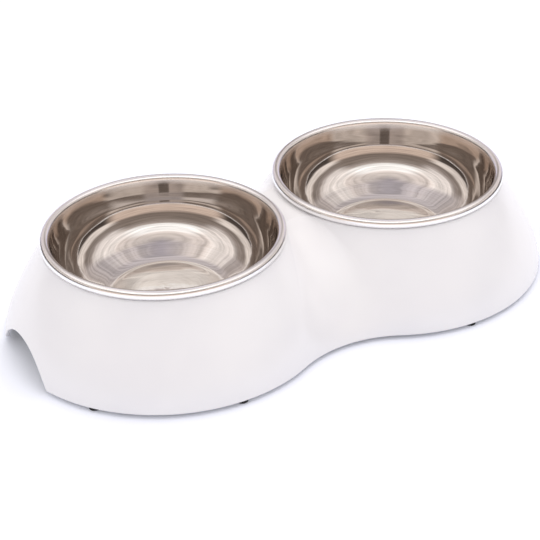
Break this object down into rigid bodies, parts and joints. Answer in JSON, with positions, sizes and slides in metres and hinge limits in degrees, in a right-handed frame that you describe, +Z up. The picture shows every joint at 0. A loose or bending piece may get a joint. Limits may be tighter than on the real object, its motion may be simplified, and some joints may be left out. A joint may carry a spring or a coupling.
{
  "type": "double pet bowl",
  "caption": "Pet feeder: drawn steel bowls with rolled rims hang side by side in a white moulded stand of round lobes joined by a waist, with a hand notch at each end and rubber feet.",
  "frame": {"origin": "middle of the footprint, on the surface that the feet stand on", "axes": "+X along the row of bowls with the left bowl at -X, +Y towards the back, +Z up"},
  "size_m": [0.3064, 0.1762, 0.0585],
  "materials": {
    "stand_plastic": "white moulded plastic, glossy",
    "bowl_steel": "drawn stainless steel, polished to a mirror",
    "foot_rubber": "black rubber, matte"
  },
  "bodies": {
    "stand": {"stand": "stand_plastic", "foot_front_1": "foot_rubber", "foot_front_2": "foot_rubber", "foot_front_3": "foot_rubber", "foot_front_4": "foot_rubber", "foot_back_1": "foot_rubber", "foot_back_2": "foot_rubber", "foot_back_3": "foot_rubber", "foot_back_4": "foot_rubber"},
    "left_bowl": {"left_bowl": "bowl_steel"},
    "right_bowl": {"right_bowl": "bowl_steel"}
  },
  "joints": [
    {"name": "left_bowl_lift", "type": "slide", "parent": "stand", "child": "left_bowl", "axis": [0, 0, 1], "range_m": [0, 0.06]},
    {"name": "right_bowl_lift", "type": "slide", "parent": "stand", "child": "right_bowl", "axis": [0, 0, 1], "range_m": [0, 0.06]}
  ]
}
